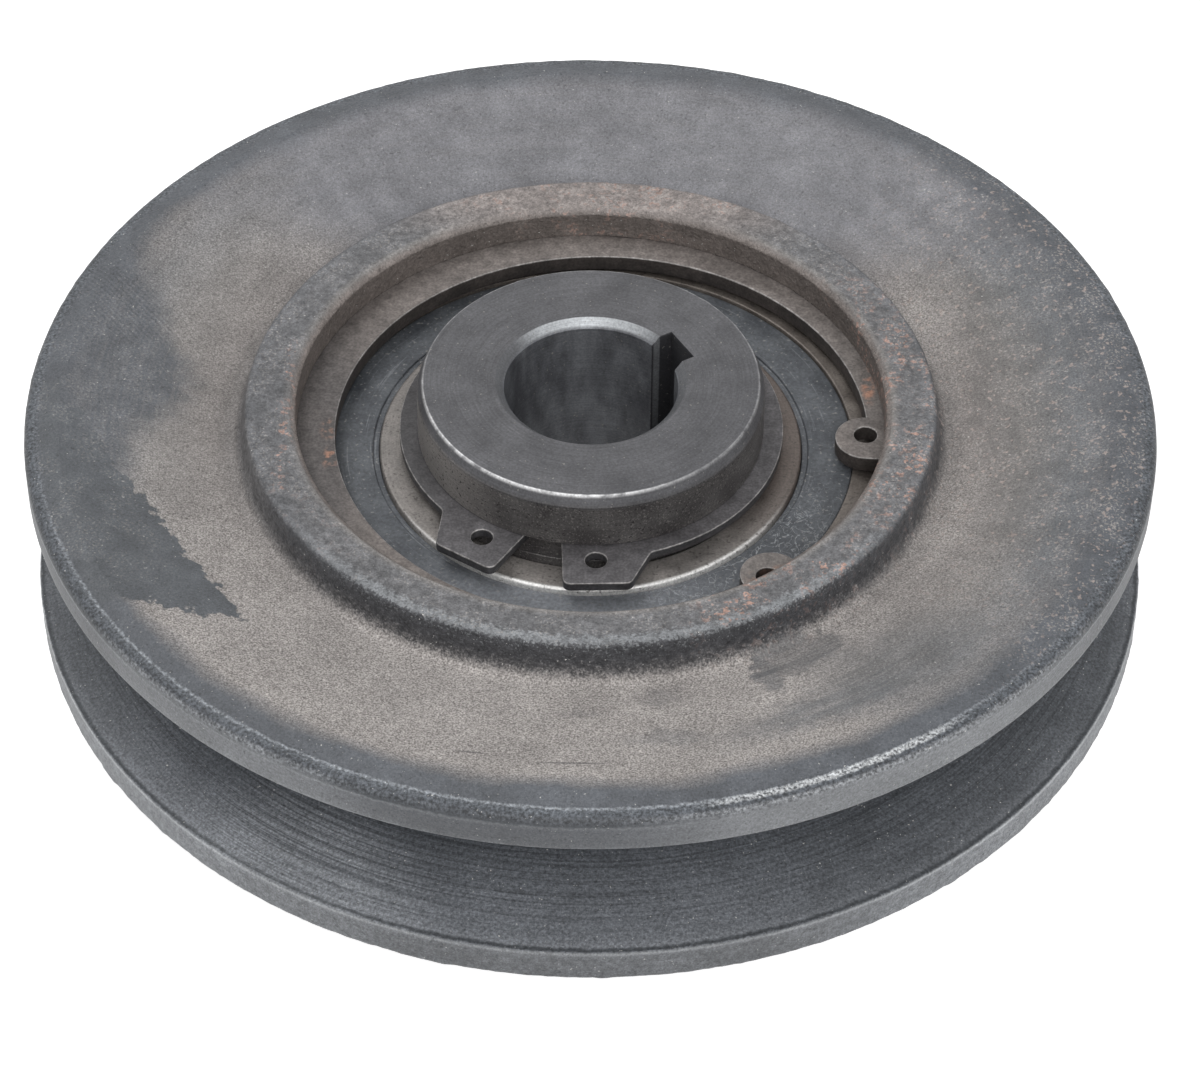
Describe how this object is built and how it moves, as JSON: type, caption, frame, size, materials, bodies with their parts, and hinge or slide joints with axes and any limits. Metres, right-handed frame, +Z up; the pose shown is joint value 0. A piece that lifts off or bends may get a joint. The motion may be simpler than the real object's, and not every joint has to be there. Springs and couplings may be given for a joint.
{
  "type": "belt pulley",
  "caption": "Cast V-belt pulley that turns freely on a sealed ball bearing over a keyed hub, held by an internal and an external circlip.",
  "frame": {"origin": "on the shaft axis, at the plane of the lower raised band that the pulley rests on", "axes": "+Z up the shaft axis towards the end where the hub stands above the rim; +X to the right in the picture"},
  "size_m": [0.13, 0.13, 0.0296],
  "materials": {
    "cast_iron": "as cast, blackened, dusty with rust specks",
    "hub_steel": "turned and blackened",
    "bearing_steel": "ground, with dull dust",
    "seal_rubber": "matt moulded",
    "cage_steel": "pressed",
    "spring_steel": "phosphated",
    "ball_steel": "polished"
  },
  "bodies": {
    "hub": {"hub": "hub_steel", "inner_ring": "bearing_steel", "shaft_circlip": "spring_steel"},
    "sheave": {"sheave": "cast_iron", "outer_ring": "bearing_steel", "upper_seal": "seal_rubber", "lower_seal": "seal_rubber", "bore_circlip": "spring_steel"},
    "cage": {"cage_upper": "cage_steel", "cage_lower": "cage_steel", "cage_rivets": "cage_steel"},
    "ball_01": {"ball_01": "ball_steel"},
    "ball_02": {"ball_02": "ball_steel"},
    "ball_03": {"ball_03": "ball_steel"},
    "ball_04": {"ball_04": "ball_steel"},
    "ball_05": {"ball_05": "ball_steel"},
    "ball_06": {"ball_06": "ball_steel"},
    "ball_07": {"ball_07": "ball_steel"},
    "ball_08": {"ball_08": "ball_steel"},
    "ball_09": {"ball_09": "ball_steel"},
    "ball_10": {"ball_10": "ball_steel"},
    "ball_11": {"ball_11": "ball_steel"},
    "ball_12": {"ball_12": "ball_steel"}
  },
  "joints": [
    {"name": "sheave_spin", "type": "hinge", "parent": "hub", "child": "sheave", "pos_m": [0, 0, 0.0123], "axis": [0, 0, 1], "continuous": true},
    {"name": "cage_turn", "type": "hinge", "parent": "hub", "child": "cage", "pos_m": [0, 0, 0.0123], "axis": [0, 0, 1], "continuous": true},
    {"name": "ball_01_roll", "type": "hinge", "parent": "cage", "child": "ball_01", "pos_m": [0.02338, 0.0135, 0.0123], "axis": [0, 0, 1], "continuous": true},
    {"name": "ball_02_roll", "type": "hinge", "parent": "cage", "child": "ball_02", "pos_m": [0.0135, 0.02338, 0.0123], "axis": [0, 0, 1], "continuous": true},
    {"name": "ball_03_roll", "type": "hinge", "parent": "cage", "child": "ball_03", "pos_m": [0, 0.027, 0.0123], "axis": [0, 0, 1], "continuous": true},
    {"name": "ball_04_roll", "type": "hinge", "parent": "cage", "child": "ball_04", "pos_m": [-0.0135, 0.02338, 0.0123], "axis": [0, 0, 1], "continuous": true},
    {"name": "ball_05_roll", "type": "hinge", "parent": "cage", "child": "ball_05", "pos_m": [-0.02338, 0.0135, 0.0123], "axis": [0, 0, 1], "continuous": true},
    {"name": "ball_06_roll", "type": "hinge", "parent": "cage", "child": "ball_06", "pos_m": [-0.027, 0, 0.0123], "axis": [0, 0, 1], "continuous": true},
    {"name": "ball_07_roll", "type": "hinge", "parent": "cage", "child": "ball_07", "pos_m": [-0.02338, -0.0135, 0.0123], "axis": [0, 0, 1], "continuous": true},
    {"name": "ball_08_roll", "type": "hinge", "parent": "cage", "child": "ball_08", "pos_m": [-0.0135, -0.02338, 0.0123], "axis": [0, 0, 1], "continuous": true},
    {"name": "ball_09_roll", "type": "hinge", "parent": "cage", "child": "ball_09", "pos_m": [0, -0.027, 0.0123], "axis": [0, 0, 1], "continuous": true},
    {"name": "ball_10_roll", "type": "hinge", "parent": "cage", "child": "ball_10", "pos_m": [0.0135, -0.02338, 0.0123], "axis": [0, 0, 1], "continuous": true},
    {"name": "ball_11_roll", "type": "hinge", "parent": "cage", "child": "ball_11", "pos_m": [0.02338, -0.0135, 0.0123], "axis": [0, 0, 1], "continuous": true},
    {"name": "ball_12_roll", "type": "hinge", "parent": "cage", "child": "ball_12", "pos_m": [0.027, 0, 0.0123], "axis": [0, 0, 1], "continuous": true}
  ],
  "couplings": [
    {"joint": "cage_turn", "follows": "sheave_spin", "ratio": 0.5735},
    {"joint": "ball_01_roll", "follows": "sheave_spin", "ratio": 3.3279},
    {"joint": "ball_02_roll", "follows": "sheave_spin", "ratio": 3.3279},
    {"joint": "ball_03_roll", "follows": "sheave_spin", "ratio": 3.3279},
    {"joint": "ball_04_roll", "follows": "sheave_spin", "ratio": 3.3279},
    {"joint": "ball_05_roll", "follows": "sheave_spin", "ratio": 3.3279},
    {"joint": "ball_06_roll", "follows": "sheave_spin", "ratio": 3.3279},
    {"joint": "ball_07_roll", "follows": "sheave_spin", "ratio": 3.3279},
    {"joint": "ball_08_roll", "follows": "sheave_spin", "ratio": 3.3279},
    {"joint": "ball_09_roll", "follows": "sheave_spin", "ratio": 3.3279},
    {"joint": "ball_10_roll", "follows": "sheave_spin", "ratio": 3.3279},
    {"joint": "ball_11_roll", "follows": "sheave_spin", "ratio": 3.3279},
    {"joint": "ball_12_roll", "follows": "sheave_spin", "ratio": 3.3279}
  ]
}
